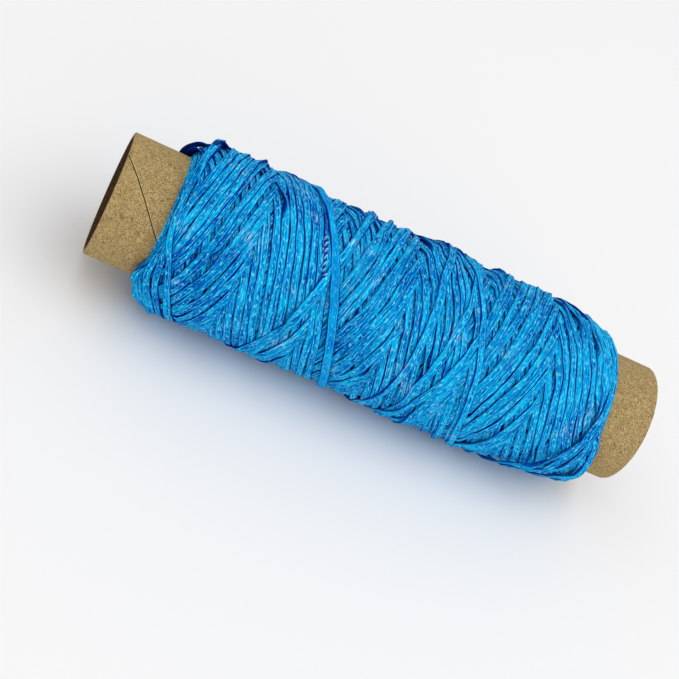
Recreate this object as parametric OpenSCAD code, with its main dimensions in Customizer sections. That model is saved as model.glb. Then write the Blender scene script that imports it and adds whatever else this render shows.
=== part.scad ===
// Spool of flat waxed thread: a spiral-wound kraft tube with the thread
// cross-wound on it. The spool lies on its side along X, centred on its bore.

/* [Core tube] */
// Length of the cardboard tube
core_length = 115; // [80:1:200]
// Diameter of the bore through the tube
bore_d = 22.8; // [16:0.2:60]
// Thickness of the innermost ply of kraft board
inner_ply_t = 0.35; // [0.2:0.05:1]
// Thickness of the middle ply
middle_ply_t = 0.4; // [0.2:0.05:1.5]
// Thickness of the outer ply
outer_ply_t = 0.35; // [0.25:0.05:1]
// Glue line left between two plies
glue_t = 0.02; // [0.01:0.01:0.1]
// Radius to which the cut edge of the outer ply is worn
edge_round = 0.2; // [0.05:0.05:0.24]

/* [Winding] */
// Bare tube left of the winding
left_stub = 10.5; // [5:0.5:20]
// Bare tube right of the winding
right_stub = 6; // [4:0.5:20]
// Radial build of the winding over the tube
winding_depth = 5; // [3.8:0.1:15]
// Length over which the left shoulder rounds off
left_run = 4; // [3:0.5:8]
// How far the left shoulder drops at its edge
left_drop = 1.8; // [0.5:0.1:1.9]
// Length over which the right shoulder rounds off
right_run = 11; // [5:0.5:15]
// How far the right shoulder drops at its edge
right_drop = 1.9; // [0.5:0.1:1.9]
// Distance from the winding's left edge to the outer layer's turning points
left_setback = 1.2; // [1:0.1:4]
// Distance from the winding's right edge to the outer layer's turning points
right_setback = 4.5; // [1:0.1:8]
// Furthest that the thread travels along the drum in one turn
turn_travel = 31; // [20:1:36]

/* [Thread] */
// Width of the flat thread
thread_w = 1.5; // [0.8:0.1:2]
// Thickness of the flat thread
thread_t = 0.6; // [0.3:0.05:0.8]
// Room between two strands where they cross
crossing_gap = 0.46; // [0.42:0.02:0.8]
// Room between the lower strands and the layers under them
seat_gap = 0.05; // [0.03:0.01:0.3]

/* [Hidden] */
$fn = 120;

kraft = "#b58e63";
kraft_inside = "#8a6238";
thread_blue = "#1f86cf";
thread_shade = "#14589c";

// radii from the bore outwards
bore_r = bore_d / 2;
inner_ply_r = bore_r + inner_ply_t;
middle_ply_r = inner_ply_r + middle_ply_t;
core_r = middle_ply_r + outer_ply_t;
winding_r = core_r + winding_depth;
layers_r = winding_r - 2 * thread_t - crossing_gap - seat_gap;

// places along the tube
left_edge = -core_length / 2 + left_stub;
right_edge = core_length / 2 - right_stub;
turn_left = left_edge + left_setback;
turn_right = right_edge - right_setback;

// The outer layer: one thread that goes to and fro along the drum. Each
// traverse falls an eighth of a turn short of whole turns, so the strands of
// one direction lie evenly spaced and the two directions cross in diamonds.
// The turns are odd in number, so the same strands lie low on each shoulder.
rings_per_turn = 24;
ring_angle = 360 / rings_per_turn;
traverse_turns = 2 * ceil(((turn_right - turn_left) / turn_travel - 1) / 2) + 1;
traverse_rings = traverse_turns * rings_per_turn - rings_per_turn / 8;
traverses = 8;
all_rings = traverses * traverse_rings;
turning_rings = 2;
end_rings = 2;
band_rings = rings_per_turn / 2;
advance = (turn_right - turn_left) / (traverse_rings - turning_rings);
// rings stand a little proud, so that the straights between them touch the radius
ring_swell = 1 / cos(ring_angle / 2);
// strands are flattened where the spool stands on them
flat_depth = thread_w / 10;
// share of the thread's width that its flat faces take up
flat_share = 0.6;
section = [for (side = [1, -1]) each [
    [side * thread_w / 2, 0],
    [side * flat_share * thread_w / 2, side * thread_t / 2],
    [-side * flat_share * thread_w / 2, side * thread_t / 2]]];

// Surface that the outer layer lies on, at a place x along the tube
function left_share(x) = max(0, (left_edge + left_run - x) / left_run);
function right_share(x) = max(0, (x - right_edge + right_run) / right_run);
function layers_radius(x) =
    layers_r - left_drop * pow(left_share(x), 2) - right_drop * pow(right_share(x), 2);
function layers_slope(x) =
    2 * left_drop * left_share(x) / left_run - 2 * right_drop * right_share(x) / right_run;

// Place of ring k in its traverse, counted from the left turning point
function traverse_of(k) = min(traverses - 1, floor(k / traverse_rings));
function goes_right(k) = traverse_of(k) % 2 == 0;
function past_turn(k) = k - traverse_rings * traverse_of(k);
function from_left(k) = goes_right(k) ? past_turn(k) : traverse_rings - past_turn(k);
function rounded(n) =
    n < turning_rings ? (n * n + turning_rings * turning_rings) / (2 * turning_rings) : n;
function ring_x(k) =
    let (n = from_left(k),
         eased = n < traverse_rings / 2 ? rounded(n)
                                        : traverse_rings - rounded(traverse_rings - n))
    turn_left + (eased - turning_rings / 2) * advance;

// Strands going right lie on top in every other band of half a turn, and
// strands going left in the bands between, which gives the chevrons
function band(k) = floor((from_left(k) - traverse_rings / 2) / band_rings);
function on_top(k) = goes_right(k) == (abs(band(k)) % 2 == 1);
function level(k) = past_turn(k) == 0 ? 0.5 : on_top(k) ? 1 : 0;
function height(k) = seat_gap + thread_t / 2 + level(k) * (thread_t + crossing_gap);

function ring_turn(k) = 180 + (k + 0.5) * ring_angle;
function around(x, r, a) = [x, -r * cos(a), r * sin(a)];
function ring_normal(k) =
    let (s = layers_slope(ring_x(k)))
    around(-s, 1, ring_turn(k)) / norm([s, 1]);
function ring_centre(k) =
    let (x = ring_x(k), s = layers_slope(x), h = height(k) / norm([s, 1]))
    around(x - s * h, (layers_radius(x) + h) * ring_swell, ring_turn(k));
function unit(v) = v / norm(v);
function ring_run(k) = unit(ring_centre(k + 1) - ring_centre(k - 1));

first_ring = end_rings;
last_ring = all_rings - end_rings;
function end_run(k, way) =
    ring_centre(k) + way * thread_w * ring_run(k);
function outline(centre, run, up) =
    let (across = unit(cross(run, up)), out = unit(cross(across, run)))
    [for (p = section) centre + across * p[0] + out * p[1]];
function flattened(p) = [p[0], p[1], max(p[2], flat_depth - winding_r)];

strand_rings = concat(
    [outline(end_run(first_ring, -1), ring_run(first_ring), ring_normal(first_ring))],
    [for (k = [first_ring:last_ring]) outline(ring_centre(k), ring_run(k), ring_normal(k))],
    [outline(end_run(last_ring, 1), ring_run(last_ring), ring_normal(last_ring))]);

// Least gap of the thread to itself: every half ring is held against every
// other half ring at least a quarter turn further on and near the same angle
sides = len(section);
function sample(i) = i % 2 == 0 ? ring_centre(i / 2)
                                : (ring_centre((i - 1) / 2) + ring_centre((i + 1) / 2)) / 2;
function room(a, b, up) =
    let (d = b - a, rise = abs(d * up), along = norm(d - (d * up) * up))
    along < thread_w ? rise - thread_t : norm([along - thread_w, max(0, rise - thread_t)]);
samples = [for (i = [2 * first_ring:2 * last_ring]) sample(i)];
ups = [for (i = [2 * first_ring:2 * last_ring]) ring_normal(i / 2)];
near = 3;
least_gap = min([for (i = [0:len(samples) - 1])
    for (turn = [1:ceil(all_rings / rings_per_turn)])
    for (shift = [-near:near])
    let (j = i + turn * 2 * rings_per_turn + shift)
    if (j < len(samples)) room(samples[i], samples[j], unit(ups[i] + ups[j]))]);
echo(thread_turns = (last_ring - first_ring) / rings_per_turn, least_gap = least_gap);

// A tube along X, as the difference of two true cylinders
module tube(inner, outer) {
    rotate([0, 90, 0])
        difference() {
            cylinder(h = core_length, r = outer, center = true);
            cylinder(h = core_length + 2, r = inner, center = true);
        }
}

// The ply that lines the bore
module core_inner_ply() {
    color(kraft_inside) tube(bore_r, inner_ply_r - glue_t);
}

// The ply in the middle of the board
module core_middle_ply() {
    color(kraft) tube(inner_ply_r, middle_ply_r - glue_t);
}

// The smooth outer ply, its cut edges worn round
module core_outer_ply() {
    corner_x = core_length / 2 - edge_round;
    corner_r = core_r - edge_round;
    corner = [for (a = [0:22.5:90])
        [corner_r + edge_round * cos(a), corner_x + edge_round * sin(a)]];
    mirrored = [for (i = [len(corner) - 1:-1:0]) [corner[i][0], -corner[i][1]]];
    color(kraft)
        rotate([0, 90, 0])
            rotate_extrude()
                polygon(concat([[middle_ply_r, -core_length / 2]], mirrored, corner,
                               [[middle_ply_r, core_length / 2]]));
}

// All the layers under the outermost, drawn in at both shoulders
module thread_inner_layers() {
    steps = 8;
    left = [for (i = [0:steps]) left_edge + left_run * i / steps];
    right = [for (i = [0:steps]) right_edge - right_run * (1 - i / steps)];
    color(thread_shade)
        rotate([0, 90, 0])
            rotate_extrude()
                polygon(concat([[core_r + glue_t, left_edge]],
                               [for (x = concat(left, right)) [layers_radius(x), x]],
                               [[core_r + glue_t, right_edge]]));
}

// The outermost layer, one unbroken strand
module thread_outer_layer() {
    count = len(strand_rings);
    points = [for (ring = strand_rings) for (p = ring) flattened(p)];
    walls = [for (i = [0:count - 2]) for (j = [0:sides - 1])
        let (a = i * sides + j, b = i * sides + (j + 1) % sides)
        each [[a, b, b + sides], [a, b + sides, a + sides]]];
    first_cap = [for (j = [1:sides - 2]) [0, j + 1, j]];
    last = (count - 1) * sides;
    last_cap = [for (j = [1:sides - 2]) [last, last + j, last + j + 1]];
    color(thread_blue) polyhedron(points, concat(walls, first_cap, last_cap));
}

core_inner_ply();
core_middle_ply();
core_outer_ply();
thread_inner_layers();
thread_outer_layer();
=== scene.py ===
"""A spool of flat waxed thread on a spiral-wound kraft tube, lying on its side.

Metres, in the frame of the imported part: X along the bore, Z up, origin halfway
along the bore. Angles round the tube start at -Y and grow towards +Z. The
thread's course is worked out in millimetres, and its meshes are in metres.
"""

import math

import bpy
import numpy as np
from mathutils import Matrix, Vector


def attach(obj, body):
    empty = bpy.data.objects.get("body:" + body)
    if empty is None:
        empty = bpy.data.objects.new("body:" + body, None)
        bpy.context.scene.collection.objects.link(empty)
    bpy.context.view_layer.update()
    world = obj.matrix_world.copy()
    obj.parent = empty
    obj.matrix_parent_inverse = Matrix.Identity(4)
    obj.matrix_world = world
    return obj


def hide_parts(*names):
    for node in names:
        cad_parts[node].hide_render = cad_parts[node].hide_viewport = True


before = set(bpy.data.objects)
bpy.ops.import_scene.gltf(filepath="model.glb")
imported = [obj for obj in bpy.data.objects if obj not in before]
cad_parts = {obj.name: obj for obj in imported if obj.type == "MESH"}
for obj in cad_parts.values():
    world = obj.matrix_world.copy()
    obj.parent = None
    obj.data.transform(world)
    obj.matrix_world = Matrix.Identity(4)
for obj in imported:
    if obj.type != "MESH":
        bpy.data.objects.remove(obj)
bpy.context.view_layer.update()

# ---------------------------------------------------------------- camera
# A short telephoto, close to the bare left end and looking down on the
# spool, so that the tube runs down across the view and grows smaller.
MM = 0.001
CAMERA_AT = (-71.29 * MM, -275.0 * MM, 0.0)
CAMERA_RIGHT = (0.8903, -0.2030, 0.4076)
CAMERA_DOWN = (0.3904, -0.1205, -0.9127)
LOOK_DOWN = math.radians(42)
LENS_PIXELS = 1431.8
VIEW_PIXELS = 679
SENSOR_WIDTH = 36.0
NEAREST_SEEN = 0.01
FURTHEST_SEEN = 20

raised = Matrix.Rotation(-LOOK_DOWN, 3, "X")
right = raised @ Vector(CAMERA_RIGHT)
up = raised @ -Vector(CAMERA_DOWN)
right.normalize()
up = (up - up.dot(right) * right).normalized()
back = right.cross(up)
lens = bpy.data.cameras.new("camera")
lens.sensor_width = SENSOR_WIDTH
lens.lens = LENS_PIXELS / VIEW_PIXELS * SENSOR_WIDTH
lens.clip_start = NEAREST_SEEN
lens.clip_end = FURTHEST_SEEN
camera = bpy.data.objects.new("camera", lens)
turned = Matrix((right, up, back)).transposed().to_4x4()
camera.matrix_world = Matrix.Translation(raised @ Vector(CAMERA_AT)) @ turned
bpy.context.scene.collection.objects.link(camera)
bpy.context.scene.camera = camera

# ---------------------------------------------------------------- inner ply
# The ply that lines the bore: a strip of brown kraft paper wound round a
# mandrel in a spiral, its edges butting. The tube is cut square at both ends.
TUBE_HALF = 57.5 * MM
BORE_R = 11.4 * MM
INNER_PLY_T = 0.35 * MM
GLUE_T = 0.02 * MM
STRIP_LEAD = 65 * MM
STRIP_STEPS = 96
STRIP_TURNS = 4
SPARE_TURNS = 1.05
BUTT_GAP = 0.07 * MM
EDGE_WORN = 0.06 * MM
SEAM_SHADE = 0.5 * MM
INNER_SEAM_X = 9 * MM
SMOOTH_BELOW = math.radians(35)
RIM_BAND = 0.02 * MM
ON_IT = 1e-6


def select_where(piece, kind, test):
    """Selects the vertices or edges of a piece whose middle passes a test."""
    bpy.ops.object.mode_set(mode="OBJECT")
    mesh = piece.data
    for part in (mesh.vertices, mesh.edges, mesh.polygons):
        part.foreach_set("select", [False] * len(part))
    for part in getattr(mesh, kind):
        if kind == "vertices":
            middle = part.co
        else:
            corners = [mesh.vertices[i].co for i in part.vertices]
            middle = sum(corners, Vector()) / len(corners)
        part.select = bool(test(middle))
    bpy.ops.object.mode_set(mode="EDIT")


def mark_seam(piece, seam_x):
    """Writes each vertex's distance from the butt seam, and which side of it it is on."""
    mesh = piece.data
    at = np.empty(len(mesh.vertices) * 3)
    mesh.vertices.foreach_get("co", at)
    x, y, z = at.reshape(-1, 3).T
    turn = np.arctan2(z, -y) / (2 * math.pi)
    past = np.mod(x - seam_x + turn * STRIP_LEAD, STRIP_LEAD)
    off = np.minimum(past, STRIP_LEAD - past) / SEAM_SHADE
    for name, value in (("seam_off", np.minimum(off, 1)), ("seam_side", past < SEAM_SHADE * 2)):
        layer = mesh.attributes.new(name, "FLOAT", "POINT")
        layer.data.foreach_set("value", value.astype(np.float32))


def strip_tube(name, inner, outer, seam_x, worn=0):
    """A paper strip wound in a spiral. Its seam passes seam_x at the angle 0."""
    bpy.ops.object.select_all(action="DESELECT")
    bpy.ops.mesh.primitive_plane_add(size=1, location=(0, 0, 0))
    piece = bpy.context.object
    piece.name = piece.data.name = name
    turns_left = math.ceil((seam_x + TUBE_HALF) / STRIP_LEAD + SPARE_TURNS)
    start = seam_x - STRIP_LEAD * turns_left
    width = STRIP_LEAD - BUTT_GAP

    # its section: a long low rectangle with worn corners, marked beside the seam
    bpy.ops.object.mode_set(mode="EDIT")
    bpy.ops.mesh.select_all(action="SELECT")
    bpy.ops.transform.resize(value=(width, outer - inner, 1))
    bpy.ops.transform.translate(value=(start + STRIP_LEAD / 2, -(inner + outer) / 2, 0))
    ends = (start + BUTT_GAP / 2, start + BUTT_GAP / 2 + width)
    bpy.ops.mesh.select_mode(type="VERT")
    select_where(piece, "vertices", lambda at: min(abs(at.x - end) for end in ends) < ON_IT)
    bpy.ops.mesh.bevel(offset=EDGE_WORN, segments=3, affect="VERTICES")
    shades = (ends[0] + SEAM_SHADE, ends[1] - SEAM_SHADE)
    for shade_x in shades:
        bpy.ops.mesh.select_all(action="SELECT")
        bpy.ops.mesh.bisect(plane_co=(shade_x, 0, 0), plane_no=(1, 0, 0))
    bpy.ops.mesh.select_all(action="SELECT")
    bpy.ops.mesh.delete(type="ONLY_FACE")
    bpy.ops.mesh.select_mode(type="EDGE")
    select_where(piece, "edges", lambda at: min(abs(at.x - shade) for shade in shades) < ON_IT)
    bpy.ops.mesh.delete(type="EDGE")

    # wound round the bore, then cut square at both ends
    bpy.ops.object.mode_set(mode="OBJECT")
    wound = piece.modifiers.new("wound", "SCREW")
    wound.axis = "X"
    wound.angle = 2 * math.pi
    wound.screw_offset = STRIP_LEAD
    wound.iterations = STRIP_TURNS
    wound.steps = wound.render_steps = STRIP_STEPS
    bpy.ops.object.modifier_apply(modifier="wound")
    bpy.ops.object.mode_set(mode="EDIT")
    for end in (-1, 1):
        bpy.ops.mesh.select_all(action="SELECT")
        bpy.ops.mesh.bisect(
            plane_co=(end * TUBE_HALF, 0, 0),
            plane_no=(end, 0, 0),
            clear_outer=True,
            use_fill=True,
        )
    if worn:
        for end in (-1, 1):
            bpy.ops.mesh.select_all(action="SELECT")
            bpy.ops.mesh.bisect(
                plane_co=(end * (TUBE_HALF - 3 * worn), 0, 0), plane_no=(1, 0, 0)
            )
        select_where(
            piece,
            "edges",
            lambda at: abs(at.x) > TUBE_HALF - ON_IT and at.yz.length > outer - RIM_BAND,
        )
        bpy.ops.mesh.bevel(offset=worn, segments=4, affect="EDGES")
    bpy.ops.mesh.select_all(action="SELECT")
    bpy.ops.mesh.normals_make_consistent(inside=False)
    bpy.ops.object.mode_set(mode="OBJECT")
    bpy.ops.object.shade_smooth_by_angle(angle=SMOOTH_BELOW)
    mark_seam(piece, seam_x)
    return piece


inner_ply = strip_tube(
    "core_inner_paper", BORE_R, BORE_R + INNER_PLY_T - GLUE_T, INNER_SEAM_X
)


class Wire:
    """A socket of a material's nodes. Sums and products of wires add the Math nodes."""

    def __init__(self, tree, socket):
        self.tree = tree
        self.socket = socket

    def node(self, kind, settings=None, values=None, out=0):
        """Adds a node: its settings first, then its inputs, and returns one output."""
        made = self.tree.nodes.new(kind)
        for name, value in (settings or {}).items():
            setattr(made, name, value)
        for key, value in (values or {}).items():
            if isinstance(value, Wire):
                self.tree.links.new(value.socket, made.inputs[key])
            else:
                made.inputs[key].default_value = value
        return Wire(self.tree, made.outputs[out])

    def maths(self, operation, *values):
        """A Math node on the values given, or on this wire alone."""
        inputs = dict(enumerate(values or (self,)))
        return self.node("ShaderNodeMath", {"operation": operation}, inputs)

    def __add__(self, other):
        return self.maths("ADD", self, other)

    def __radd__(self, other):
        return self.maths("ADD", other, self)

    def __sub__(self, other):
        return self.maths("SUBTRACT", self, other)

    def __rsub__(self, other):
        return self.maths("SUBTRACT", other, self)

    def __mul__(self, other):
        return self.maths("MULTIPLY", self, other)

    def __rmul__(self, other):
        return self.maths("MULTIPLY", other, self)

    def __truediv__(self, other):
        return self.maths("DIVIDE", self, other)

    def ramp(self, low, high):
        """0 below low, 1 above high, smooth between; high may be the smaller."""
        return self.node(
            "ShaderNodeMapRange",
            {"interpolation_type": "SMOOTHSTEP"},
            {"Value": self, "From Min": low, "From Max": high},
        )

    def mix(self, share, a, b):
        """The colour a where share is 0, and b where it is 1."""
        a, b = (side if isinstance(side, Wire) else (*side, 1) for side in (a, b))
        return self.node(
            "ShaderNodeMix", {"data_type": "RGBA"}, {0: share, 6: a, 7: b}, out=2
        )

    def between(self, a, b):
        """The colour a where this is 0, and b where it is 1."""
        return self.mix(self, a, b)

    def noise(self, scale, detail=2.0, rough=0.5, **more):
        """Chance cloud values at this place, with features 1 / scale long."""
        return self.node(
            "ShaderNodeTexNoise",
            None,
            {"Vector": self, "Scale": scale, "Detail": detail, "Roughness": rough, **more},
        )

    def stretched(self, x, y):
        """This place with its first two numbers multiplied."""
        return self.node(
            "ShaderNodeVectorMath", {"operation": "MULTIPLY"}, {0: self, 1: (x, y, 1)}
        )

    def part(self, axis):
        """One of the three numbers of this place."""
        return self.node("ShaderNodeSeparateXYZ", None, {0: self}, out=axis)

    def stored(self, name):
        """A number that the mesh stores at its vertices."""
        return self.node("ShaderNodeAttribute", {"attribute_name": name}, out=2)

    def bump(self, height, strength, depth):
        """Relief from a height of 0 to 1."""
        return self.node(
            "ShaderNodeBump",
            None,
            {"Strength": strength, "Distance": depth, "Height": height},
        )


def new_finish(name, **steady):
    """A material, its surface shader with the steady values set, and a first wire."""
    made = bpy.data.materials.new(name)
    made.use_nodes = True
    shader = made.node_tree.nodes["Principled BSDF"]
    for key, value in steady.items():
        shader.inputs[key.replace("_", " ")].default_value = value
    return made, shader, Wire(made.node_tree, None)


def plug(shader, **wires):
    """Feeds wires into the surface shader's inputs of those names."""
    for key, wire in wires.items():
        wire.tree.links.new(wire.socket, shader.inputs[key.replace("_", " ")])


BOARD_GLOSS = 0.25
FELT_SCALE = 4600
CLUMP_SCALE = FELT_SCALE / 4
CLUMP_SHARE = 0.14
CLOUD_SCALE = 90
DARK_HAIR_SCALE = 420
PALE_HAIR_SCALE = DARK_HAIR_SCALE * 1.3
DARK_HAIR_SHARE = 0.55
PALE_HAIR_SHARE = 0.5
HIGHLIGHT_LIP_SHARE = 0.6
SEAM_DARKNESS = 0.2
FELT_RELIEF = 0.05 * MM


def hair(place, scale, wave):
    """0 along the middle of wavy hairs, and more to both sides of them."""
    return (place.noise(scale, 2.0, 0.4, Distortion=wave) - 0.5).maths("ABSOLUTE")


def kraft(name, ground, dark, pale):
    """Brown kraft board: a felt of short fibres, some dark, some pale, and at the seam a
    painted highlight and painted shade.
    """
    made, shader, start = new_finish(name, Specular_IOR_Level=BOARD_GLOSS)
    place = start.node("ShaderNodeTexCoord", out=3)
    felt = place.noise(FELT_SCALE, 3.0, 0.65)
    clump = place.noise(CLUMP_SCALE, 2.0, 0.6)
    cloud = place.noise(CLOUD_SCALE, 3.0)
    dark_hair = hair(place, DARK_HAIR_SCALE, 0.6).ramp(0.012, 0.003)
    pale_hair = hair(place, PALE_HAIR_SCALE, 0.8).ramp(0.014, 0.004)
    grain = felt * (1 - CLUMP_SHARE) + clump * CLUMP_SHARE
    colour = grain.ramp(0.37, 0.64).between(dark, pale)
    colour = (0.25 + 0.3 * cloud).between(colour, ground)
    colour = (pale_hair * PALE_HAIR_SHARE).between(colour, pale)
    colour = (dark_hair * DARK_HAIR_SHARE).between(colour, dark)
    # the seam: a painted highlight along the lip on one side of it, and painted shade in and
    # beside its gap
    off = start.stored("seam_off")
    highlight_lip = off.ramp(0.6, 0.35) * start.stored("seam_side")
    colour = (highlight_lip * HIGHLIGHT_LIP_SHARE).between(colour, pale)
    shade = tuple(SEAM_DARKNESS * part for part in dark)
    colour = off.ramp(0.34, 0.2).between(colour, shade)
    bump = start.bump(felt + clump * 0.7, 0.4, FELT_RELIEF)
    plug(shader, Base_Color=colour, Roughness=0.74 + 0.2 * felt, Normal=bump)
    return made


# The liner's browns: a darker paper, darkened further as painted shade of the bore.
LINER_BROWN = (0.085, 0.045, 0.014)
LINER_DARK = (0.034, 0.016, 0.005)
LINER_PALE = (0.15, 0.085, 0.032)
shaded_liner = kraft("kraft_liner", LINER_BROWN, LINER_DARK, LINER_PALE)
inner_ply.data.materials.append(shaded_liner)
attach(inner_ply, "root")
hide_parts("core_inner_ply")

# ---------------------------------------------------------------- middle ply
# The second strip, glued on the first with its seam set about a third of
# a lead aside. Only its cut edge shows, as the middle line of three on the rim.
MIDDLE_PLY_T = 0.40 * MM
MIDDLE_SEAM_X = -10.5 * MM
BOARD_BROWN = (0.34, 0.225, 0.115)
BOARD_DARK = (0.165, 0.095, 0.04)
BOARD_PALE = (0.52, 0.38, 0.22)
middle_r = BORE_R + INNER_PLY_T
middle_ply = strip_tube(
    "core_middle_paper", middle_r, middle_r + MIDDLE_PLY_T - GLUE_T, MIDDLE_SEAM_X
)
board = kraft("kraft_board", BOARD_BROWN, BOARD_DARK, BOARD_PALE)
middle_ply.data.materials.append(board)
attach(middle_ply, "root")
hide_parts("core_middle_ply")

# ---------------------------------------------------------------- outer ply
# The outermost strip, the smooth face of the tube. Its butt seam shows on the
# bare left end as a thin dark line, and its cut edges are worn a little round.
OUTER_PLY_T = 0.35 * MM
OUTER_SEAM_X = -43.0 * MM
RIM_WORN = 0.24 * MM
FACE_BROWN = (0.37, 0.248, 0.094)
FACE_DARK = (0.112, 0.064, 0.017)
FACE_PALE = (0.69, 0.51, 0.235)
CORE_R = middle_r + MIDDLE_PLY_T + OUTER_PLY_T
outer_ply = strip_tube(
    "core_outer_paper", middle_r + MIDDLE_PLY_T, CORE_R, OUTER_SEAM_X, RIM_WORN
)
face = kraft("kraft_face", FACE_BROWN, FACE_DARK, FACE_PALE)
outer_ply.data.materials.append(face)
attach(outer_ply, "root")
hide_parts("core_outer_ply")

# ---------------------------------------------------------------- winding
# The course of one flat thread of braided waxed polyester, wound to and fro
# while the tube turned: three turns to a pass, and each pair of passes set one
# thread's width on from the last. Every pass lies taut over the ones before it.
THREAD_W = 1.53
THREAD_T = 0.55
REACH = 47.0
PASS_SHIFT = 1.57
PASS_TURNS = 3
LEAD = (4 * REACH - PASS_SHIFT) / (2 * PASS_TURNS)
PAIR_TURNS = 4 * REACH / LEAD
NEWEST_TURN = 57 / 360
PASS_PAIRS = 36
SHOWN_PAIRS = 30
ROWS = 720
CELL = 0.15
DRUM_LEFT = -54.0
DRUM_RIGHT = 58.0
TURN_EASE = 0.12
REST_Z = -17.35
drum_r = CORE_R / MM
chance = np.random.default_rng(7)

# The shoulders: where the thread turns back, it was laid a little further out
# or in each time. Both have slid outwards since, the right one on the side that
# hangs low and the left one in a narrow place in front.
RIGHT_SHOULDER = 28
RIGHT_RUN = 17
LEFT_SHOULDER = 36
LEFT_RUN = 9
RIGHT_SLUMP = 5.8
RIGHT_SLUMP_ANGLE = math.radians(-55)
RIGHT_SLUMP_FALL = 1.5
NEWEST_SLUMP = 0.6
MORE_SLUMP = 0.4
SLUMP_RATE = 3
LEFT_SLUMP = 2.6
LEFT_SLUMP_ANGLE = math.radians(-12)
LEFT_SLUMP_FALL = 10
RIGHT_ENDS = ((0, 1.0), (3, 1.0), (7, -0.4), (14, 0.7), (36, 1.0))
RIGHT_SCATTER = 0.4
NEWEST_SCATTER = 0.1
LEFT_ENDS = ((0, 0.2), (2, 0.4), (7, 0.9), (36, 0.4))
LEFT_SCATTER = 0.3

# What strays from the regular course. Turns are counted from the turning point
# at the right of each pair of passes, the newest pair being number 0. The
# thread of pair 1 took two turns more, close together, and it came to the
# right end with slack, as did the two before it.
STRAY_PAIR = 1
STRAY_TURNS = 2
TAIL_TURNS = 0.28
COURSES = {
    1: (
        (-4.2, -21.4), (-3.8, -10.5), (-3.5, -3.0), (-3.25, 2.4), (-3.12, 4.9),
        (-3.04, 5.8), (-2.95, 5.6), (-2.89, 5.6), (-2.80, 6.9), (-2.5, 7.9),
        (-2.18, 8.6), (-2.11, 8.9), (-2.06, 9.7), (-2.01, 10.9), (-1.96, 11.1),
        (-1.92, 11.9), (-1.5, 12.4), (-1.16, 12.6), (-1.08, 13.0), (-1.05, 14.4),
        (-0.99, 16.4), (-0.93, 17.4), (-0.86, 19.1), (-0.66, 24.0), (-0.44, 28.0),
        (-0.27, 31.4), (-0.19, 33.6), (-0.163, 37.0), (-0.135, 39.9), (-0.105, 42.4),
        (-0.075, 44.2), (-0.052, 45.3), (-0.026, 46.0), (0.0, 46.1), (0.05, 45.6),
    ),
    0: (
        (2.78, -39.8), (2.87, -43.2), (2.92, -45.2), (2.96, -46.0), (2.99, -46.0),
        (3.03, -45.8), (3.06, -45.1), (3.09, -44.4), (3.125, -43.6), (3.17, -42.5),
        (3.2, -41.8), (3.25, -41.2), (3.4, -40.6),
    ),
}
ASTRAY = (
    (0, "aside", (
        (1.5, 0), (1.776, 1.6), (1.862, 1.1), (1.963, 0), (2.042, -0.5), (2.092, -1.4),
        (2.2, -1.6), (2.4, 0),
    )),
    (0, "aside", (
        (-3.1, -0.6), (-2.94, -0.8), (-2.91, -1.1), (-2.876, -1.3), (-2.834, -1.7),
        (-2.5, -0.8), (-2.27, 0),
    )),
    (1, "aside", ((2.8, 0), (2.95, -0.4), (3.1, -0.6))),
    (2, "aside", (
        (-0.5, 0), (-0.36, -5), (-0.22, -8), (-0.135, -8), (-0.116, -5), (-0.1, -2.7),
        (-0.082, -1.8), (-0.057, -1.1), (-0.027, -0.5), (0.1, 0),
    )),
    (3, "aside", (
        (-0.45, 0), (-0.17, -5), (-0.11, -3), (-0.073, -0.3), (-0.064, 1.0),
        (-0.036, 1.2), (0, 1.5), (0.02, 1.8), (0.05, 1.4), (0.15, 0),
    )),
    (0, "raised", ((1.65, 0), (1.8, 0.25), (2.05, 0.25), (2.2, 0))),
    (0, "raised", (
        (3.06, 0), (3.12, 0.4), (3.17, 1.0), (3.22, 1.2), (3.25, 0.9), (3.29, -0.3),
    )),
    (0, "raised", ((-2.1, 0), (-1.9, -0.26), (-1.7, -0.26), (-1.5, 0))),
    (0, "raised", ((-1.05, 0), (-0.88, -0.25), (-0.74, -0.25), (-0.6, 0))),
    (2, "raised", ((-1.95, 0), (-1.8, -0.34), (-1.6, -0.34), (-1.45, 0))),
    (4, "raised", ((-1.85, 0), (-1.7, -0.25), (-1.5, -0.25), (-1.35, 0))),
    (1, "raised", ((-0.4, 0), (-0.2, 0.7), (-0.12, 0.7), (-0.05, 0.2), (0, 0))),
    (2, "raised", ((-0.34, 0), (-0.2, 0.5), (-0.12, 0.7), (-0.06, 0.4), (0.02, 0))),
    (3, "raised", ((-0.3, 0), (-0.12, 0.5), (-0.05, 0.5), (0.03, 0.1), (0.06, 0))),
    (0, "wider", ((1.6, 0), (1.75, 0.3), (2.2, 0.3), (2.35, 0))),
    (1, "wider", ((-3.4, 0), (-3.2, 0.15), (-0.8, 0.15), (-0.6, 0))),
)
KNOT_ROUNDING = 10
FADE_ROWS = 30


def wander(count, period):
    """Smooth chance values of about unit size, in waves about period samples long."""
    knots = chance.normal(size=int(count / period * 2) + 5)
    place = np.linspace(0, len(knots) - 2, count)
    i = place.astype(int)
    share = place - i
    share = share * share * (3 - 2 * share)
    return knots[i] * (1 - share) + knots[i + 1] * share


def evened(values, reach):
    """values averaged over reach samples to each side."""
    weights = np.hanning(2 * reach + 3)[1:-1]
    padded = np.pad(values, reach, mode="edge")
    return np.convolve(padded, weights / weights.sum(), mode="valid")


def through(turns, knots):
    """A smooth line through knots (turn, value), and how far it holds, 0 to 1."""
    places, values = zip(*knots)
    line = evened(np.interp(turns, places, values), KNOT_ROUNDING)
    inside = np.minimum(turns - places[0], places[-1] - turns) * ROWS / FADE_ROWS
    return line, np.clip(inside, 0, 1)


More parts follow.
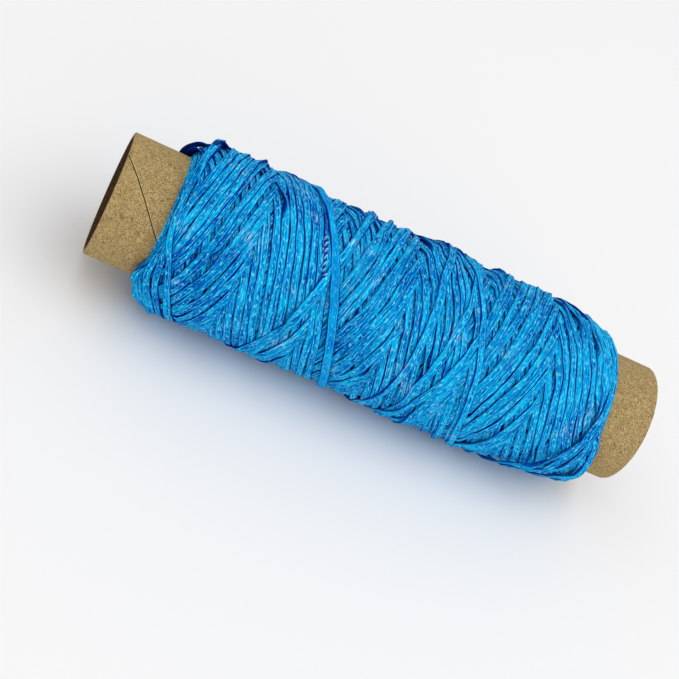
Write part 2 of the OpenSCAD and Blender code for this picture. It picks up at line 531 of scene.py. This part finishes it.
def bulge(angle, centre, fall):
    """1 at the angle centre, falling to 0 on the other side, faster with more fall."""
    return np.clip(np.cos(angle - centre), 0, 1) ** fall


def shoulder(out, start, run):
    """0 up to start on the way out to an end, growing to 1 over run."""
    return np.clip((out - start) / run, 0, 1) ** 2


def pair_of_passes(age):
    """Rows, places along X and changes of height and width of one pair of passes."""
    turn = NEWEST_TURN - age * PAIR_TURNS
    half = PAIR_TURNS / 2
    more = STRAY_TURNS if age == STRAY_PAIR else 0
    tail = TAIL_TURNS if age == 0 else 0
    at = np.arange(round((turn - half - more) * ROWS), round((turn + half + tail) * ROWS))
    t = at / ROWS - turn
    from_right = np.abs(np.where(t < -half + 1, t + more, t))
    from_left = np.abs(half - from_right)
    from_tip = np.minimum(from_right, from_left)
    eased = (from_tip**2 + TURN_EASE**2) / (2 * TURN_EASE)
    inset = LEAD * np.where(from_tip < TURN_EASE, eased, from_tip)
    x = np.where(from_right < from_left, REACH - inset, inset - REACH)

    # how far out this pair turned back, at each angle
    angle = at / ROWS * 2 * math.pi
    slumped = NEWEST_SLUMP + MORE_SLUMP * min(1, SLUMP_RATE * (age / PASS_PAIRS))
    slump = RIGHT_SLUMP * bulge(angle, RIGHT_SLUMP_ANGLE, RIGHT_SLUMP_FALL)
    right_extra = right_ends[age] + slump * slumped
    left_slump = LEFT_SLUMP * bulge(angle, LEFT_SLUMP_ANGLE, LEFT_SLUMP_FALL)
    left_extra = np.where(t < 0, left_ends[age + 1], left_ends[age]) - left_slump
    x = x + right_extra * shoulder(x, RIGHT_SHOULDER, RIGHT_RUN)
    x = x + left_extra * shoulder(-x, LEFT_SHOULDER, LEFT_RUN)

    # where it strays; a stray that runs on into the next pair doesn't fade there
    if age in COURSES:
        line, holds = through(t, COURSES[age])
        x = x * (1 - holds) + line * holds
    change = {"aside": 0 * t, "raised": 0 * t, "wider": 0 * t}
    for whose, what, knots in ASTRAY:
        if whose == age:
            line, holds = through(t, knots)
            first, last = knots[0][0], knots[-1][0]
            if first < -PASS_TURNS or last > PASS_TURNS:
                holds = 1
            change[what] += line * holds * ((t > first) & (t < last))
    return at, x + change["aside"], change["raised"], change["wider"]


ages = np.arange(PASS_PAIRS + 1)
right_ends = np.interp(ages, *zip(*RIGHT_ENDS))
left_ends = np.interp(ages, *zip(*LEFT_ENDS))
right_scatter = np.where(ages > 3, RIGHT_SCATTER, NEWEST_SCATTER)
left_scatter = np.where(ages > 2, LEFT_SCATTER, 0)
right_ends = right_ends + right_scatter * chance.normal(size=len(ages))
left_ends = left_ends + left_scatter * chance.normal(size=len(ages))

pairs = [pair_of_passes(age) for age in range(PASS_PAIRS - 1, -1, -1)]
path_rows, path_x, raised, wider = (np.concatenate(part) for part in zip(*pairs))
path_rows = path_rows % ROWS
count = len(path_x)
ends = np.cumsum([len(pair[0]) for pair in pairs])
starts = np.concatenate([[0], ends[:-1]])

# No pass is quite even: waves of (size, length in rows) in the thread's place
# and section. Now and then the flat thread turns over.
PLACE_WAVES = ((0.15, 90), (0.17, 300), (0.18, 2000))
ROLL_WAVE = (0.11, 110)
WIDTH_WAVES = ((0.08, 160), (0.04, 40))
DEPTH_WAVE = (0.08, 60)
FLIP_EVERY = 3100
FLIP_SCATTER = 0.45
FLIP_ROWS = 70
for size, length in PLACE_WAVES:
    path_x = path_x + size * wander(count, length)
roll = ROLL_WAVE[0] * wander(count, ROLL_WAVE[1])
width = 1
for size, length in WIDTH_WAVES:
    width = width + size * wander(count, length)
width = THREAD_W * width + wider
depth = THREAD_T * (1 + DEPTH_WAVE[0] * wander(count, DEPTH_WAVE[1]))
spin = np.zeros(count)
for place in np.arange(FLIP_EVERY, count - FLIP_EVERY, FLIP_EVERY):
    place = int(place + chance.uniform(-FLIP_SCATTER, FLIP_SCATTER) * FLIP_EVERY)
    share = np.clip((np.arange(count - place) / FLIP_ROWS), 0, 1)
    spin[place:] += math.pi * share * share * (3 - 2 * share)

# Laying it: a height map of the drum by angle and place, which every pass
# rests on, bridging what is too hollow to follow, and then adds to.
# It starts from the layers long covered, a smooth body that hangs a little.
BURIED = (
    (-47, 12.0), (-46, 13.0), (-45, 13.9), (-43.5, 14.6), (-41, 15.8), (-36, 15.8),
    (-30, 16.0), (-20, 15.8), (-10, 15.6), (0, 16.0), (10, 16.3), (20, 16.2),
    (30, 16.3), (38, 15.9), (41, 15.2), (44, 13.9), (46, 13.9), (47.5, 13.0), (49, 12.0),
)
BURIED_SLUMP = 0.8
BURIED_DROP = 0.25
HANG = 0.2
HANG_ANGLE = math.radians(-45)
HALF_CELLS = 5
CROWN_HALF = 0.53
CROWN_FALL = 3.2
LEAN_REACH = 0.66
MOST_LEAN = 0.45
LEAN_ROUNDING = 10
ON_RIDGES = 0.55
ON_MEAN = 0.45
BEND_R = 12.0
LAYING_R = 16
HELD_ROWS = 60
TAUT = 0.85
FOLLOWING = 0.15
LAID_ROUNDING = 4
SINK = 0.14
EDGE_LIFT = 0.3


def cell_of(x):
    """The cell of the height map at a place along the drum."""
    return np.rint((x - DRUM_LEFT) / CELL).astype(int)


def taut(floor, step, bend_r):
    """The lowest line over floor that sags no more sharply than bend_r."""
    place = np.arange(len(floor)) * step
    fall = place * place / (2 * bend_r)
    level = floor - fall
    held = []
    for i in range(len(level)):
        while len(held) > 1:
            a, b = held[-2], held[-1]
            if (level[b] - level[a]) * (i - b) > (level[i] - level[b]) * (b - a):
                break
            held.pop()
        held.append(i)
    return np.interp(np.arange(len(level)), held, level[held]) + fall


drum_x = DRUM_LEFT + np.arange(round((DRUM_RIGHT - DRUM_LEFT) / CELL) + 1) * CELL
row_angle = np.arange(ROWS) / ROWS * 2 * math.pi
slump = RIGHT_SLUMP * bulge(row_angle, RIGHT_SLUMP_ANGLE, RIGHT_SLUMP_FALL)
slump_x = slump[:, None] * shoulder(drum_x, RIGHT_SHOULDER, RIGHT_RUN)
hang = HANG * np.cos(row_angle - HANG_ANGLE)
buried = np.interp(drum_x - BURIED_SLUMP * slump_x, *zip(*BURIED)) + hang[:, None] - BURIED_DROP
drum = np.maximum(buried, drum_r)
beside = np.arange(-HALF_CELLS, HALF_CELLS + 1)
across = beside * CELL
crown = np.sqrt(np.clip(1 - np.abs(across / (THREAD_W * CROWN_HALF)) ** CROWN_FALL, 0, 1))
row_step = 2 * math.pi * LAYING_R / ROWS
path_r = np.zeros(count)
lean = np.zeros(count)
line = np.full(HELD_ROWS, drum_r)
for number, (i, j) in enumerate(zip(starts, ends)):
    if number == PASS_PAIRS - SHOWN_PAIRS:
        layers_below = drum.copy()
    rows = path_rows[i:j, None]
    cells = cell_of(path_x[i:j])[:, None] + beside
    under = drum[rows, cells]
    left_top = under[:, : HALF_CELLS - 1].max(1)
    right_top = under[:, HALF_CELLS + 2 :].max(1)
    slope = (right_top - left_top) / (THREAD_W * LEAN_REACH)
    slope = evened(np.clip(slope, -MOST_LEAN, MOST_LEAN), LEAN_ROUNDING)
    level = under - slope[:, None] * across
    floor = ON_RIDGES * level.max(1) + ON_MEAN * level.mean(1)
    floor = np.concatenate([line[-HELD_ROWS:], floor])
    line = taut(floor, row_step, BEND_R)
    line = evened(TAUT * line + FOLLOWING * floor, LAID_ROUNDING)
    lean[i:j] = slope + roll[i:j]
    on_edge = EDGE_LIFT * np.abs(np.sin(spin[i:j]))
    path_r[i:j] = line[HELD_ROWS:] + THREAD_T / 2 - SINK + raised[i:j] + on_edge
    top = path_r[i:j, None] + THREAD_T / 2 * crown + lean[i:j, None] * across
    drum[rows, cells] = np.maximum(under, top)

# The winding is pressed flat where the spool rests on it. Only what lies lower
# than LOW_SIDE, the sine of its angle, can reach the table.
PRESS_CELLS = (3, 6, 9)
PRESS_ROUNDING = 12
LOW_SIDE = -0.5
ridges = drum.copy()
for shift in PRESS_CELLS:
    beside_it = np.maximum(np.roll(drum, shift, 1), np.roll(drum, -shift, 1))
    ridges = np.maximum(ridges, beside_it)
room = REST_Z / np.minimum(np.sin(row_angle), LOW_SIDE)
pressed = np.clip(ridges - room[:, None], 0, None)
path_r = path_r - evened(pressed[path_rows, cell_of(path_x)], PRESS_ROUNDING)

# ---------------------------------------------------------------- layers below
# The passes long covered, as one skin over their ridges, in painted shade of
# dark navy and royal. Where nothing is wound the skin runs inside the tube's wall.
BELOW_STEPS = 300
BELOW_LEFT = -50.0
BELOW_RIGHT = 55.0
SHRINK_STEPS = (-2, 0, 2)
LEAST_DEPTH = 0.1
WALL_DEPTH = 0.12
RIM_DEPTH = 0.2
SHADE_SCALE = 300
ROYAL = (0.0, 0.115, 0.53)
GAP_SHADE = (0.0, 0.022, 0.29)


def skin(name, points, loops, corners, uv=None):
    """A smooth mesh from points in mm, its faces given as one list of corners."""
    mesh = bpy.data.meshes.new(name)
    mesh.vertices.add(len(points))
    mesh.vertices.foreach_set("co", (points * MM).astype(np.float32).ravel())
    mesh.loops.add(len(loops))
    mesh.loops.foreach_set("vertex_index", loops.astype(np.int32))
    mesh.polygons.add(len(corners))
    first = np.concatenate([[0], np.cumsum(corners)[:-1]])
    mesh.polygons.foreach_set("loop_start", first.astype(np.int32))
    mesh.update(calc_edges=True)
    mesh.validate()
    mesh.polygons.foreach_set("use_smooth", [True] * len(corners))
    if uv is not None:
        layer = mesh.uv_layers.new(name="along_thread")
        layer.uv.foreach_set("vector", uv.astype(np.float32).ravel())
    piece = bpy.data.objects.new(name, mesh)
    bpy.context.scene.collection.objects.link(piece)
    return piece


below_x = np.linspace(BELOW_LEFT, BELOW_RIGHT, BELOW_STEPS)
below_rows = np.arange(BELOW_STEPS) * ROWS // BELOW_STEPS
below_r = (layers_below - pressed)[below_rows][:, cell_of(below_x)]
shrunk = [np.roll(below_r, (i, j), (0, 1)) for i in SHRINK_STEPS for j in SHRINK_STEPS]
below_r = np.min(shrunk, 0)
below_r = np.where(below_r > drum_r + LEAST_DEPTH, below_r, drum_r - WALL_DEPTH)
rim = np.full((BELOW_STEPS, 1), drum_r - RIM_DEPTH)
below_r = np.concatenate([rim, below_r, rim], axis=1)
below_x = np.concatenate([[BELOW_LEFT], below_x, [BELOW_RIGHT]])
below_angle = (below_rows / ROWS * 2 * math.pi)[:, None]
below_y = -below_r * np.cos(below_angle)
below_z = np.maximum(below_r * np.sin(below_angle), REST_Z)
points = np.stack([np.broadcast_to(below_x, below_y.shape), below_y, below_z], axis=-1)
ring_size = len(below_x)
ring = np.arange(BELOW_STEPS)[:, None] * ring_size
after = (np.arange(BELOW_STEPS)[:, None] + 1) % BELOW_STEPS * ring_size
step = np.arange(ring_size)[None]
step_on = (step + 1) % ring_size
quads = np.stack([ring + step, ring + step_on, after + step_on, after + step], axis=-1)
below = skin(
    "thread_layers_below",
    points.reshape(-1, 3),
    quads.reshape(-1),
    np.full(BELOW_STEPS * ring_size, 4),
)

in_shade, shader, start = new_finish("thread_in_shade", Roughness=0.7, Specular_IOR_Level=0.1)
patches = start.node("ShaderNodeTexCoord", out=3).noise(SHADE_SCALE, 2.0).ramp(0.35, 0.65)
plug(shader, Base_Color=patches.between(GAP_SHADE, ROYAL))
below.data.materials.append(in_shade)
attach(below, "root")
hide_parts("thread_inner_layers")

# ---------------------------------------------------------------- wound thread
# The newest passes and the turnings of covered ones: one strand of braid with
# a flat section, round edges and a furrow down the middle of each face. It is
# dyed in blues that run into one another, and waxed.
SECTION = 16
# 1 makes the section an ellipse, and 0 a rectangle.
SECTION_ROUND = 0.6
FURROW = 0.30
FURROW_WAVE = (0.18, 25)
MOST_FURROW = 0.6
RING_ROWS = 8
PARTS = 4
TURNINGS_LEFT = -40
TURNINGS_RIGHT = 35
LEAST_RINGS = 3
# The turns that lie smooth and sleek, counted from the newest turning point at
# the right.
SLEEK_FROM = 1.55
SLEEK_TO = 2.4
SLEEK_FADE = 0.1

bend = np.arange(SECTION) / SECTION * 2 * math.pi - math.pi / 2
flat_x = np.sign(np.cos(bend)) * np.abs(np.cos(bend)) ** SECTION_ROUND
flat_z = np.sign(np.sin(bend)) * np.abs(np.sin(bend)) ** SECTION_ROUND
groove = np.zeros(SECTION)
groove[[15, 0, 1]] = (-0.5, -1, -0.5)
groove[[7, 8, 9]] = (0.5, 1, 0.5)


def strand(angle, x, radius, lean, spin=0.0, width=THREAD_W, depth=THREAD_T,
           furrow=FURROW, sleek=0.0):
    """A stretch of thread: its rings of points, the length up to each ring, how far
    each has turned over, and how sleek it is there."""
    lean, spin, width, depth, furrow, sleek = (
        np.broadcast_to(value, angle.shape).astype(float)[:, None]
        for value in (lean, spin, width, depth, furrow, sleek)
    )
    outward = np.stack([np.zeros_like(angle), -np.cos(angle), np.sin(angle)], axis=-1)
    centre = outward * radius[:, None]
    centre[:, 0] = x
    run = np.gradient(centre, axis=0)
    run /= np.linalg.norm(run, axis=1)[:, None]
    lift = outward - lean * np.array([1.0, 0, 0])
    side = np.cross(run, lift)
    side /= np.linalg.norm(side, axis=1)[:, None]
    lift = np.cross(side, run)
    cos, sin = np.cos(spin), np.sin(spin)
    side, lift = side * cos + lift * sin, lift * cos - side * sin
    rise = flat_z - furrow * groove
    ring = (
        centre[:, None]
        + side[:, None] * (width / 2 * flat_x)[..., None]
        + lift[:, None] * (depth / 2 * rise)[..., None]
    )
    ring[..., 2] = np.maximum(ring[..., 2], REST_Z)
    step = np.linalg.norm(np.diff(centre, axis=0), axis=1)
    return ring, np.concatenate([[0], np.cumsum(step)]), spin[:, 0], sleek[:, 0]


def cut(stretch, start, end):
    """The rings from start up to end of a stretch of thread."""
    return tuple(values[start:end] for values in stretch)


def thread_piece(name, stretches):
    """Stretches of thread as one mesh, each a closed tube, with a map along it."""
    points, loops, corners, uv, sleek = [], [], [], [], []
    base = 0
    for ring, along, spin, sleek_here in stretches:
        count = len(ring)
        sleek.append(np.repeat(sleek_here, SECTION))
        points.append(ring.reshape(-1, 3))
        a = np.arange(count - 1)[:, None] * SECTION + base
        j = np.arange(SECTION)[None]
        k = (j + 1) % SECTION
        quads = np.stack([a + j, a + j + SECTION, a + k + SECTION, a + k], axis=-1)
        loops.append(quads.reshape(-1))
        corners.append(np.full((count - 1) * SECTION, 4))
        turn = spin[:, None] / (2 * math.pi)
        near_j, far_j = j / SECTION + turn[:-1], j / SECTION + turn[1:]
        near_k, far_k = (j + 1) / SECTION + turn[:-1], (j + 1) / SECTION + turn[1:]
        near = np.broadcast_to(along[:-1, None], quads.shape[:2])
        far = np.broadcast_to(along[1:, None], quads.shape[:2])
        lengthways = np.stack([near, far, far, near], axis=-1)
        roundways = np.stack([near_j, far_j, far_k, near_k], axis=-1)
        uv.append(np.stack([lengthways, roundways], axis=-1).reshape(-1, 2))
        first = base + np.arange(SECTION)
        last = base + (count - 1) * SECTION + np.arange(SECTION)[::-1]
        loops += [first, last]
        corners.append(np.array([SECTION, SECTION]))
        tips = np.repeat([along[0], along[-1]], SECTION)
        uv.append(np.stack([tips, np.full(2 * SECTION, 0.5)], axis=-1))
        base += count * SECTION
    piece = skin(name, *(np.concatenate(part) for part in (points, loops, corners, uv)))
    layer = piece.data.attributes.new("sleek", "FLOAT", "POINT")
    layer.data.foreach_set("value", np.concatenate(sleek).astype(np.float32))
    return piece


picked = np.arange(0, count, RING_ROWS)
furrow = FURROW + FURROW_WAVE[0] * wander(len(picked), FURROW_WAVE[1])
turned_back = ends[-1] - round((PAIR_TURNS / 2 + TAIL_TURNS) * ROWS)
turn = (np.arange(count) - turned_back) / ROWS
sleek = np.clip(np.minimum(turn - SLEEK_FROM, SLEEK_TO - turn) / SLEEK_FADE, 0, 1)
path = strand(
    path_rows[picked] / ROWS * 2 * math.pi,
    path_x[picked],
    path_r[picked],
    lean[picked],
    spin[picked],
    width[picked],
    depth[picked],
    np.clip(furrow, 0, MOST_FURROW),
    sleek[picked],
)
shown_from = starts[PASS_PAIRS - SHOWN_PAIRS] // RING_ROWS
shown = len(picked) - 1 - shown_from
marks = [shown_from + shown * n // PARTS for n in range(PARTS + 1)]
wound = []
for n in range(PARTS):
    part = cut(path, marks[n], marks[n + 1] + 1)
    wound.append(thread_piece(f"thread_wound_{n + 1}", [part]))
near = (path_x[picked] > TURNINGS_RIGHT) | (path_x[picked] < TURNINGS_LEFT)
near[shown_from + 1 :] = False
turns = np.flatnonzero(np.diff(np.concatenate([[0], near.astype(int), [0]])))
turnings = [cut(path, i, j) for i, j in zip(turns[::2], turns[1::2]) if j - i > LEAST_RINGS]
wound.append(thread_piece("thread_turnings", turnings))

WAX_GLOSS = 0.01
AZURE = (0.002, 0.28, 0.71)
SKY = (0.003, 0.63, 0.98)
GLINT = (0.21, 0.88, 1.0)
FROST = (0.55, 0.92, 1.0)
DEEP = (0.0, 0.018, 0.26)
SHADE_BLUE = (0.0, 0.022, 0.13)
# Features to a millimetre along the thread, and to one turn round it.
RUN_FINE = (0.03, 0.5)
STREAK_FINE = (0.12, 10.0)
FIBRE_FINE = (0.28, 24.0)
FLECK_FINE = (1.05, 24.0)
SPECK_FINE = (0.9, 11.0)
BRAID_SLOPE = 6.0
BRAID_FINE = (2.6, 0.8, 3)
TWIST_LENGTH = 1.2
TWIST_SLOPE = 3.2
# Features to a metre, of what runs on from strand to strand.
DYE_SCALE = 75
LINE_SCALE = 55
WAXY_SCALE = 420
PATCH_SCALE = 150
# Bands beside the middle of the upper face, in turns round the thread.
HIGHLIGHT_EDGE_AT = 0.10
HIGHLIGHT_EDGE_BAND = (0.022, 0.008)
SHADE_LINE_BAND = (0.115, 0.155)
GAP_SHADE_BAND = (0.17, 0.21)
DIP_DEPTH = 0.12
PAINTED_LIGHT_HEIGHT = 0.09
SLEEK_PALER = 0.1
SLEEK_CALM = 0.55
LEAST_ROUGH = 0.42
SPECK_ROUGH = 0.25
RELIEF_SHARE = 0.8
RELIEF = 0.07 * MM
# Spots as (place along the tube, angle): where the dye is deeper, in part as painted
# shade, where it is paler as painted light, where the wax has bloomed, and where the strand
# shows its twist.
DYE_AND_SHADE_DIPS = (
    (-22.6, 86.3), (-17, 100), (-28, 98), (25.6, 92.0), (38.2, 28.6), (-8.5, 20.8),
    (-36.3, 10.4), (41.5, 27), (-42, 15), (-35, 42),
)
PAINTED_LIGHT_SPOTS = ((30, 44), (36, 60), (22, 36), (-28, 56))
WAX_BLOOMS = (
    (-32.8, 53.5), (-38.3, 95.7), (-1.1, 104.7), (-7.4, 62.0), (20.0, 98.6),
    (21.3, 49.2), (13.4, 69.7), (-17.9, 100.8),
)
TWIST_SHOWN = (
    (-18.5, 72.3), (-18.3, 68.2), (-18.1, 64.4), (-17.7, 60.9), (-17.4, 57.2),
    (-17.1, 53.6), (-16.9, 50.0),
)
SPOT_R = 18
DIP_REACH = 8 * MM
PAINTED_LIGHT_REACH = 11 * MM
BLOOM_REACH = 3.0 * MM
TWIST_REACH = 1.7 * MM


def close_to(place, spots, reach):
    """1 at the spots (place along the tube, angle), falling to 0 at reach from them."""
    total = 0
    for x, angle in spots:
        angle = math.radians(angle)
        spot = Vector((x, -SPOT_R * math.cos(angle), SPOT_R * math.sin(angle))) * MM
        away = place.node(
            "ShaderNodeVectorMath", {"operation": "DISTANCE"}, {0: place, 1: spot}, out=1
        )
        total = total + away.ramp(reach, 0)
    return total


def waxed(name, painted_shade=0.0):
    """Dyed braid under a coat of wax: streaks along it, bloom where it is rubbed, and painted
    highlights and shade.
    """
    made, shader, start = new_finish(name, Specular_IOR_Level=WAX_GLOSS)
    place = start.node("ShaderNodeTexCoord", out=3)
    thread = start.node("ShaderNodeUVMap", {"uv_map": "along_thread"})
    sleek = start.stored("sleek")
    busy = 1 - SLEEK_CALM * sleek
    along = thread.part(0)
    face = thread.part(1).maths("FRACT")
    off_top = (face - 0.5).maths("ABSOLUTE")
    yarn = along + off_top * BRAID_SLOPE
    laid = [part * fine for part, fine in zip((yarn, along, face), BRAID_FINE)]
    braid = start.node("ShaderNodeCombineXYZ", None, dict(enumerate(laid)))
    braid = braid.noise(1.0, 1.0, 0.5)
    run = thread.stretched(*RUN_FINE).noise(1.0, 2.0, 0.5)
    streak = thread.stretched(*STREAK_FINE).noise(1.0, 1.0, 0.5)
    fibre = thread.stretched(*FIBRE_FINE).noise(1.0, 1.5, 0.5)
    fleck = thread.stretched(*FLECK_FINE).noise(1.0, 1.0, 0.5)
    speck = thread.stretched(*SPECK_FINE).noise(1.0, 2.0, 0.6)

    # the dye, and what is darker and paler in it: streaks, braid and fibres, their paler marks
    # partly a painted sheen of the wax, and flecks of painted glint
    # deeper dye and painted shade at the dips, painted light at the other spots
    dye_and_shade_dip = close_to(place, DYE_AND_SHADE_DIPS, DIP_REACH)
    rise = close_to(place, PAINTED_LIGHT_SPOTS, PAINTED_LIGHT_REACH)
    dyed = place.noise(DYE_SCALE, 2.0, 0.5)
    tone = dyed * 0.5 + run * 0.5 - DIP_DEPTH * dye_and_shade_dip + PAINTED_LIGHT_HEIGHT * rise + SLEEK_PALER * sleek
    colour = tone.ramp(0.38, 0.55).between(ROYAL, AZURE)
    for pattern, none_at, all_at, share, tint in (
        (streak, 0.48, 0.36, 0.45, DEEP),
        (streak, 0.52, 0.64, 0.50, SKY),
        (braid, 0.46, 0.34, 0.25, DEEP),
        (braid, 0.54, 0.66, 0.22, SKY),
        (fibre, 0.44, 0.33, 0.70, DEEP),
        (fibre, 0.54, 0.64, 0.70, SKY),
        (fleck, 0.56, 0.67, 0.64, GLINT),
    ):
        colour = (pattern.ramp(none_at, all_at) * share * busy).between(colour, tint)

    # a painted highlight beside each edge, painted shade down it and in the gap below it,
    # darker towards the left
    edge = (off_top - HIGHLIGHT_EDGE_AT).maths("ABSOLUTE").ramp(*HIGHLIGHT_EDGE_BAND)
    colour = (edge * (0.2 + 0.45 * fibre.ramp(0.46, 0.60))).between(colour, SKY)
    apart = (place.noise(LINE_SCALE, 1.0) - place.part(0) * 3.0).ramp(0.40, 0.58)
    shade_line = 0.15 + 0.6 * apart + 0.35 * run.ramp(0.66, 0.44)
    colour = (off_top.ramp(*SHADE_LINE_BAND) * shade_line).between(colour, DEEP)
    colour = (off_top.ramp(*GAP_SHADE_BAND) * (0.5 + 0.5 * apart)).between(colour, GAP_SHADE)

    # the one strand that shows its twist
    twist = ((along + face * TWIST_SLOPE) / TWIST_LENGTH).maths("FRACT")
    shown = close_to(place, TWIST_SHOWN, TWIST_REACH).ramp(0.2, 0.45)
    colour = (twist.ramp(0.75, 0.6) * shown * 0.95).between(colour, DEEP)
    colour = (twist.ramp(0.35, 0.2) * shown * 0.55).between(colour, FROST)

    # the bloom of the wax
    waxy = place.noise(WAXY_SCALE, 1.0).ramp(0.46, 0.60)
    patch = place.noise(PATCH_SCALE, 2.0).ramp(0.60, 0.72) * 0.5
    patch = patch + close_to(place, WAX_BLOOMS, BLOOM_REACH) * waxy
    bloom = fibre.ramp(0.46, 0.58) * speck.ramp(0.46, 0.58)
    colour = (bloom * patch.maths("MINIMUM", patch, 1) * busy).between(colour, FROST)
    # a shaded copy of the thread: painted shade of dark navy over it
    if painted_shade:
        colour = start.mix(painted_shade, colour, SHADE_BLUE)
    bump = start.bump(fibre * 0.5 + braid * 0.5 + streak, RELIEF_SHARE, RELIEF)
    plug(shader, Base_Color=colour, Roughness=LEAST_ROUGH + SPECK_ROUGH * speck, Normal=bump)
    return made


def put_on(piece, finish):
    """Gives a piece of thread its finish and its place in the object."""
    piece.data.materials.append(finish)
    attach(piece, "root")
    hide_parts("thread_outer_layer")


thread_blue = waxed("waxed_thread")
for piece in wound:
    put_on(piece, thread_blue)

# ---------------------------------------------------------------- end turnings
# The long covered turnings that close both ends of the winding, as one strand
# at each end that climbs the wall of the buried layers from the tube up.
CLIMB_TURNS = 5.5
CLIMB_PER_TURN = 0.5
CLIMB_PROUD = 0.25
CLIMB_LEAN = 1.3
CLIMB_WAVE = (0.12, 30)
CLIMB_ROUNDING = 8
climbs = []
for side in (-1, 1):
    rows = np.arange(0, round(CLIMB_TURNS * ROWS), RING_ROWS)
    radius = drum_r + CLIMB_PROUD + CLIMB_PER_TURN * rows / ROWS
    walls = (layers_below - pressed)[rows % ROWS] > radius[:, None]
    if side > 0:
        x = drum_x[-1] - CELL * np.argmax(walls[:, ::-1], axis=1)
    else:
        x = drum_x[0] + CELL * np.argmax(walls, axis=1)
    x = evened(x, CLIMB_ROUNDING) + side * CLIMB_PROUD
    x = x + CLIMB_WAVE[0] * wander(len(rows), CLIMB_WAVE[1])
    climbs.append(strand(rows / ROWS * 2 * math.pi, x, radius, -CLIMB_LEAN * side))
put_on(thread_piece("thread_end_turnings", climbs), thread_blue)

# ---------------------------------------------------------------- slack strands
# Where the thread left the winding at the left shoulder for the bare tube and
# came back: three slack loops in painted shade of dark navy, and one thin pale
# end beside them. Each is a width, a twist and knots of place, angle and radius.
SLACK_T = 0.5
SLACK_RINGS = 60
SLACK_ROUNDING = 4
SHADE_SHARE = 0.85
SLACK_END = (0.8, 0.1, (
    (-44.6, 158, 13.0), (-46.2, 146, 12.9), (-46.9, 134, 12.9), (-46.8, 126, 13.9),
    (-46.2, 122, 14.6), (-45.3, 118, 14.7), (-44.5, 114, 14.4), (-43.9, 110, 14.0),
))
SLACK_LOOPS = (
    (1.3, 0.5, (
        (-43.8, 182, 13.1), (-46.0, 170, 12.9), (-47.4, 156, 12.8), (-47.8, 143, 12.8),
        (-47.6, 134, 13.5), (-47.0, 129, 14.4), (-46.0, 126, 15.4), (-44.9, 123, 15.8),
        (-43.4, 120, 15.8), (-42.2, 118, 15.2),
    )),
    (1.6, 0.2, (
        (-44.0, 168, 13.1), (-46.2, 157, 12.9), (-46.9, 147, 12.8), (-46.8, 140, 13.1),
        (-46.4, 136, 13.9), (-45.4, 132, 14.3), (-44.5, 126, 14.2), (-43.6, 120, 13.8),
    )),
    (1.3, 0.4, (
        (-43.7, 112, 17.2), (-43.0, 116, 17.9), (-42.1, 119, 17.8), (-41.2, 121, 17.3),
        (-40.5, 122, 16.6), (-39.9, 122, 15.9),
    )),
)


def slack_strand(width, twist, knots):
    """A slack stretch of thread through its knots, turned over by twist."""
    share = np.linspace(0, len(knots) - 1, SLACK_RINGS)
    x, angle, radius = (
        evened(np.interp(share, np.arange(len(knots)), values), SLACK_ROUNDING)
        for values in zip(*knots)
    )
    return strand(np.radians(angle), x, radius, 0.0, twist, width, SLACK_T)


slack_end = thread_piece("thread_slack_end", [slack_strand(*SLACK_END)])
slack_loops = thread_piece("thread_slack_loops", [slack_strand(*loop) for loop in SLACK_LOOPS])
put_on(slack_end, thread_blue)
put_on(slack_loops, waxed("waxed_thread_painted_shade", SHADE_SHARE))

# ---------------------------------------------------------------- table, light
# The spool lies on a plain pale table, under a wide soft light from above and
# a weaker one from the front, in an evenly lit room.
TABLE_SIZE = 6
TABLE_WHITE = (0.93, 0.93, 0.93, 1)
ROOM_LIGHT = 0.64
bpy.ops.object.select_all(action="DESELECT")
bpy.ops.mesh.primitive_plane_add(size=TABLE_SIZE, location=(0, 0, REST_Z * MM))
table = bpy.context.object
table.name = "table"
table_top, shader, start = new_finish("table_top", Roughness=0.9, Specular_IOR_Level=0.1)
shader.inputs["Base Color"].default_value = TABLE_WHITE
table.data.materials.append(table_top)

world = bpy.data.worlds.new("studio")
bpy.context.scene.world = world
world.use_nodes = True
room_light = world.node_tree.nodes["Background"]
room_light.inputs["Color"].default_value = (1, 1, 1, 1)
room_light.inputs["Strength"].default_value = ROOM_LIGHT


def softbox(name, power, size, at):
    """A square soft light that faces the spool."""
    light = bpy.data.lights.new(name, "AREA")
    light.energy = power
    light.size = size
    lamp = bpy.data.objects.new(name, light)
    lamp.location = at
    lamp.rotation_mode = "QUATERNION"
    lamp.rotation_quaternion = (-Vector(at)).to_track_quat("-Z", "Y")
    bpy.context.scene.collection.objects.link(lamp)


softbox("top_light", 9.8, 1.6, (0.32, -0.33, 1.28))
softbox("front_fill", 1.8, 0.9, (0.3, -0.95, 0.06))
bpy.context.scene.view_settings.view_transform = "Standard"
